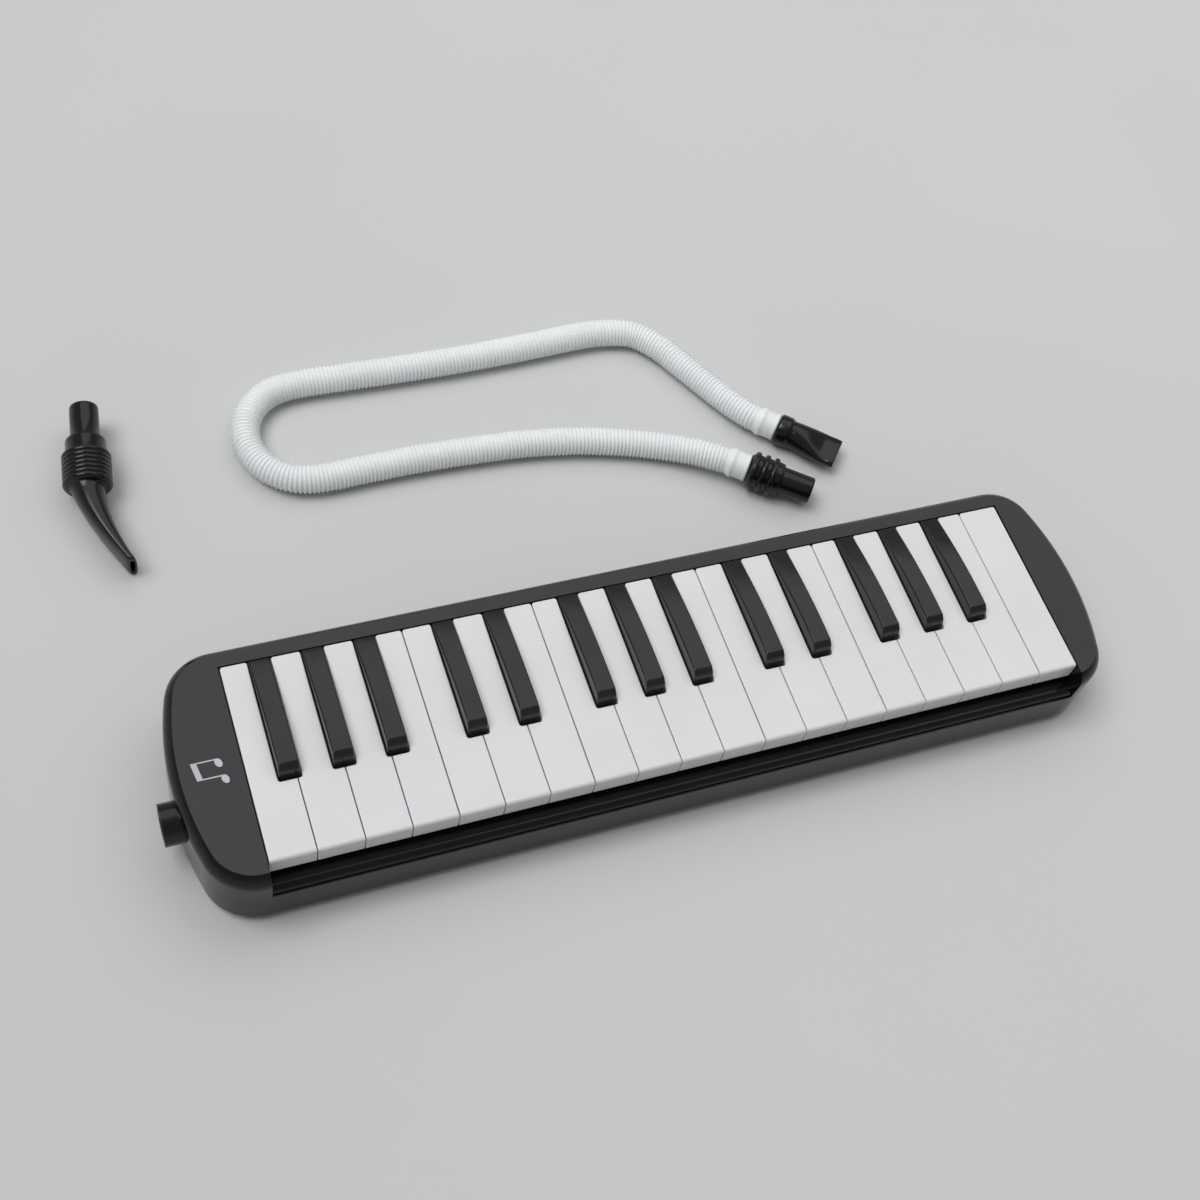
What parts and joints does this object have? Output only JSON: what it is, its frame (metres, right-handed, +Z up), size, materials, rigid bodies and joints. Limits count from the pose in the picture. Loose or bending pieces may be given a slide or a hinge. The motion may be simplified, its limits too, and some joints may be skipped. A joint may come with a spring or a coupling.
{
  "type": "melodica",
  "caption": "Keyboard wind instrument with sprung keys in a low dark case, a socket for blowing, a drain button, and a loose hose and short mouthpiece beside it.",
  "frame": {"origin": "middle of the flat underside of the instrument's body, on the table", "axes": "+X along the keys towards the treble end, +Y from the keys' front towards the rail behind them, +Z up"},
  "size_m": [0.4431, 0.269, 0.0459],
  "materials": {
    "shell": "gloss black moulded shell",
    "cover": "dark grey matt textured top, gloss edge",
    "white_keys": "satin white",
    "black_keys": "polished black",
    "chassis": "plain moulded",
    "chamber": "plain moulded",
    "duct": "soft moulded",
    "fittings": "gloss black",
    "mouthpiece": "gloss black",
    "hose": "soft white corrugated",
    "seal_rubber": "soft black",
    "felt": "dense felt",
    "steel": "plain",
    "spring_steel": "rolled strip and wire",
    "reed_plate": "milled",
    "reed_brass": "ground"
  },
  "bodies": {
    "instrument": {"lower_shell": "shell", "top_cover": "cover", "chassis": "chassis", "key_rod": "steel", "key_springs": "spring_steel", "stop_felts": "felt", "reed_gasket": "seal_rubber", "bass_reed_plate": "reed_plate", "treble_reed_plate": "reed_plate", "reeds": "reed_brass", "reed_plate_screws": "steel", "chamber_cover": "chamber", "chamber_gasket": "seal_rubber", "chamber_screws": "steel", "chassis_screws": "steel", "case_screws": "steel", "blow_socket": "fittings", "socket_seal": "seal_rubber", "blow_duct": "duct", "drain_bush": "fittings", "drain_spring": "spring_steel"},
    "key_f3": {"key_f3": "white_keys"},
    "key_f_sharp3": {"key_f_sharp3": "black_keys"},
    "key_g3": {"key_g3": "white_keys"},
    "key_g_sharp3": {"key_g_sharp3": "black_keys"},
    "key_a3": {"key_a3": "white_keys"},
    "key_a_sharp3": {"key_a_sharp3": "black_keys"},
    "key_b3": {"key_b3": "white_keys"},
    "key_c4": {"key_c4": "white_keys"},
    "key_c_sharp4": {"key_c_sharp4": "black_keys"},
    "key_d4": {"key_d4": "white_keys"},
    "key_d_sharp4": {"key_d_sharp4": "black_keys"},
    "key_e4": {"key_e4": "white_keys"},
    "key_f4": {"key_f4": "white_keys"},
    "key_f_sharp4": {"key_f_sharp4": "black_keys"},
    "key_g4": {"key_g4": "white_keys"},
    "key_g_sharp4": {"key_g_sharp4": "black_keys"},
    "key_a4": {"key_a4": "white_keys"},
    "key_a_sharp4": {"key_a_sharp4": "black_keys"},
    "key_b4": {"key_b4": "white_keys"},
    "key_c5": {"key_c5": "white_keys"},
    "key_c_sharp5": {"key_c_sharp5": "black_keys"},
    "key_d5": {"key_d5": "white_keys"},
    "key_d_sharp5": {"key_d_sharp5": "black_keys"},
    "key_e5": {"key_e5": "white_keys"},
    "key_f5": {"key_f5": "white_keys"},
    "key_f_sharp5": {"key_f_sharp5": "black_keys"},
    "key_g5": {"key_g5": "white_keys"},
    "key_g_sharp5": {"key_g_sharp5": "black_keys"},
    "key_a5": {"key_a5": "white_keys"},
    "key_a_sharp5": {"key_a_sharp5": "black_keys"},
    "key_b5": {"key_b5": "white_keys"},
    "key_c6": {"key_c6": "white_keys"},
    "drain_valve": {"drain_button": "fittings", "drain_seal": "seal_rubber"},
    "blow_hose": {"hose": "hose", "hose_connector": "mouthpiece", "hose_mouthpiece": "mouthpiece"},
    "loose_mouthpiece": {"short_mouthpiece": "mouthpiece"}
  },
  "joints": [
    {"name": "drain_press", "type": "slide", "parent": "instrument", "child": "drain_valve", "axis": [-1, 0, 0], "range_m": [0, 0.0025], "stiffness_N_per_m": 150, "springref_m": -0.004, "deforming": ["drain_spring"]},
    {"name": "hose_lift_off", "type": "slide", "parent": "instrument", "child": "blow_hose", "axis": [0, 0, 1], "range_m": [0, 0.04]},
    {"name": "mouthpiece_lift_off", "type": "slide", "parent": "instrument", "child": "loose_mouthpiece", "axis": [0, 0, 1], "range_m": [0, 0.04]},
    {"name": "key_f3_press", "type": "hinge", "parent": "instrument", "child": "key_f3", "pos_m": [0, 0.018, 0.028], "axis": [1, 0, 0], "range_deg": [0, 3], "stiffness_Nm_per_rad": 0.25, "springref_deg": -5.73, "deforming": ["key_springs"]},
    {"name": "key_f_sharp3_press", "type": "hinge", "parent": "instrument", "child": "key_f_sharp3", "pos_m": [0, 0.018, 0.028], "axis": [1, 0, 0], "range_deg": [0, 3.5], "stiffness_Nm_per_rad": 0.25, "springref_deg": -5.73},
    {"name": "key_g3_press", "type": "hinge", "parent": "instrument", "child": "key_g3", "pos_m": [0, 0.018, 0.028], "axis": [1, 0, 0], "range_deg": [0, 3], "stiffness_Nm_per_rad": 0.25, "springref_deg": -5.73},
    {"name": "key_g_sharp3_press", "type": "hinge", "parent": "instrument", "child": "key_g_sharp3", "pos_m": [0, 0.018, 0.028], "axis": [1, 0, 0], "range_deg": [0, 3.5], "stiffness_Nm_per_rad": 0.25, "springref_deg": -5.73},
    {"name": "key_a3_press", "type": "hinge", "parent": "instrument", "child": "key_a3", "pos_m": [0, 0.018, 0.028], "axis": [1, 0, 0], "range_deg": [0, 3], "stiffness_Nm_per_rad": 0.25, "springref_deg": -5.73},
    {"name": "key_a_sharp3_press", "type": "hinge", "parent": "instrument", "child": "key_a_sharp3", "pos_m": [0, 0.018, 0.028], "axis": [1, 0, 0], "range_deg": [0, 3.5], "stiffness_Nm_per_rad": 0.25, "springref_deg": -5.73},
    {"name": "key_b3_press", "type": "hinge", "parent": "instrument", "child": "key_b3", "pos_m": [0, 0.018, 0.028], "axis": [1, 0, 0], "range_deg": [0, 3], "stiffness_Nm_per_rad": 0.25, "springref_deg": -5.73},
    {"name": "key_c4_press", "type": "hinge", "parent": "instrument", "child": "key_c4", "pos_m": [0, 0.018, 0.028], "axis": [1, 0, 0], "range_deg": [0, 3], "stiffness_Nm_per_rad": 0.25, "springref_deg": -5.73},
    {"name": "key_c_sharp4_press", "type": "hinge", "parent": "instrument", "child": "key_c_sharp4", "pos_m": [0, 0.018, 0.028], "axis": [1, 0, 0], "range_deg": [0, 3.5], "stiffness_Nm_per_rad": 0.25, "springref_deg": -5.73},
    {"name": "key_d4_press", "type": "hinge", "parent": "instrument", "child": "key_d4", "pos_m": [0, 0.018, 0.028], "axis": [1, 0, 0], "range_deg": [0, 3], "stiffness_Nm_per_rad": 0.25, "springref_deg": -5.73},
    {"name": "key_d_sharp4_press", "type": "hinge", "parent": "instrument", "child": "key_d_sharp4", "pos_m": [0, 0.018, 0.028], "axis": [1, 0, 0], "range_deg": [0, 3.5], "stiffness_Nm_per_rad": 0.25, "springref_deg": -5.73},
    {"name": "key_e4_press", "type": "hinge", "parent": "instrument", "child": "key_e4", "pos_m": [0, 0.018, 0.028], "axis": [1, 0, 0], "range_deg": [0, 3], "stiffness_Nm_per_rad": 0.25, "springref_deg": -5.73},
    {"name": "key_f4_press", "type": "hinge", "parent": "instrument", "child": "key_f4", "pos_m": [0, 0.018, 0.028], "axis": [1, 0, 0], "range_deg": [0, 3], "stiffness_Nm_per_rad": 0.25, "springref_deg": -5.73},
    {"name": "key_f_sharp4_press", "type": "hinge", "parent": "instrument", "child": "key_f_sharp4", "pos_m": [0, 0.018, 0.028], "axis": [1, 0, 0], "range_deg": [0, 3.5], "stiffness_Nm_per_rad": 0.25, "springref_deg": -5.73},
    {"name": "key_g4_press", "type": "hinge", "parent": "instrument", "child": "key_g4", "pos_m": [0, 0.018, 0.028], "axis": [1, 0, 0], "range_deg": [0, 3], "stiffness_Nm_per_rad": 0.25, "springref_deg": -5.73},
    {"name": "key_g_sharp4_press", "type": "hinge", "parent": "instrument", "child": "key_g_sharp4", "pos_m": [0, 0.018, 0.028], "axis": [1, 0, 0], "range_deg": [0, 3.5], "stiffness_Nm_per_rad": 0.25, "springref_deg": -5.73},
    {"name": "key_a4_press", "type": "hinge", "parent": "instrument", "child": "key_a4", "pos_m": [0, 0.018, 0.028], "axis": [1, 0, 0], "range_deg": [0, 3], "stiffness_Nm_per_rad": 0.25, "springref_deg": -5.73},
    {"name": "key_a_sharp4_press", "type": "hinge", "parent": "instrument", "child": "key_a_sharp4", "pos_m": [0, 0.018, 0.028], "axis": [1, 0, 0], "range_deg": [0, 3.5], "stiffness_Nm_per_rad": 0.25, "springref_deg": -5.73},
    {"name": "key_b4_press", "type": "hinge", "parent": "instrument", "child": "key_b4", "pos_m": [0, 0.018, 0.028], "axis": [1, 0, 0], "range_deg": [0, 3], "stiffness_Nm_per_rad": 0.25, "springref_deg": -5.73},
    {"name": "key_c5_press", "type": "hinge", "parent": "instrument", "child": "key_c5", "pos_m": [0, 0.018, 0.028], "axis": [1, 0, 0], "range_deg": [0, 3], "stiffness_Nm_per_rad": 0.25, "springref_deg": -5.73},
    {"name": "key_c_sharp5_press", "type": "hinge", "parent": "instrument", "child": "key_c_sharp5", "pos_m": [0, 0.018, 0.028], "axis": [1, 0, 0], "range_deg": [0, 3.5], "stiffness_Nm_per_rad": 0.25, "springref_deg": -5.73},
    {"name": "key_d5_press", "type": "hinge", "parent": "instrument", "child": "key_d5", "pos_m": [0, 0.018, 0.028], "axis": [1, 0, 0], "range_deg": [0, 3], "stiffness_Nm_per_rad": 0.25, "springref_deg": -5.73},
    {"name": "key_d_sharp5_press", "type": "hinge", "parent": "instrument", "child": "key_d_sharp5", "pos_m": [0, 0.018, 0.028], "axis": [1, 0, 0], "range_deg": [0, 3.5], "stiffness_Nm_per_rad": 0.25, "springref_deg": -5.73},
    {"name": "key_e5_press", "type": "hinge", "parent": "instrument", "child": "key_e5", "pos_m": [0, 0.018, 0.028], "axis": [1, 0, 0], "range_deg": [0, 3], "stiffness_Nm_per_rad": 0.25, "springref_deg": -5.73},
    {"name": "key_f5_press", "type": "hinge", "parent": "instrument", "child": "key_f5", "pos_m": [0, 0.018, 0.028], "axis": [1, 0, 0], "range_deg": [0, 3], "stiffness_Nm_per_rad": 0.25, "springref_deg": -5.73},
    {"name": "key_f_sharp5_press", "type": "hinge", "parent": "instrument", "child": "key_f_sharp5", "pos_m": [0, 0.018, 0.028], "axis": [1, 0, 0], "range_deg": [0, 3.5], "stiffness_Nm_per_rad": 0.25, "springref_deg": -5.73},
    {"name": "key_g5_press", "type": "hinge", "parent": "instrument", "child": "key_g5", "pos_m": [0, 0.018, 0.028], "axis": [1, 0, 0], "range_deg": [0, 3], "stiffness_Nm_per_rad": 0.25, "springref_deg": -5.73},
    {"name": "key_g_sharp5_press", "type": "hinge", "parent": "instrument", "child": "key_g_sharp5", "pos_m": [0, 0.018, 0.028], "axis": [1, 0, 0], "range_deg": [0, 3.5], "stiffness_Nm_per_rad": 0.25, "springref_deg": -5.73},
    {"name": "key_a5_press", "type": "hinge", "parent": "instrument", "child": "key_a5", "pos_m": [0, 0.018, 0.028], "axis": [1, 0, 0], "range_deg": [0, 3], "stiffness_Nm_per_rad": 0.25, "springref_deg": -5.73},
    {"name": "key_a_sharp5_press", "type": "hinge", "parent": "instrument", "child": "key_a_sharp5", "pos_m": [0, 0.018, 0.028], "axis": [1, 0, 0], "range_deg": [0, 3.5], "stiffness_Nm_per_rad": 0.25, "springref_deg": -5.73},
    {"name": "key_b5_press", "type": "hinge", "parent": "instrument", "child": "key_b5", "pos_m": [0, 0.018, 0.028], "axis": [1, 0, 0], "range_deg": [0, 3], "stiffness_Nm_per_rad": 0.25, "springref_deg": -5.73},
    {"name": "key_c6_press", "type": "hinge", "parent": "instrument", "child": "key_c6", "pos_m": [0, 0.018, 0.028], "axis": [1, 0, 0], "range_deg": [0, 3], "stiffness_Nm_per_rad": 0.25, "springref_deg": -5.73}
  ]
}
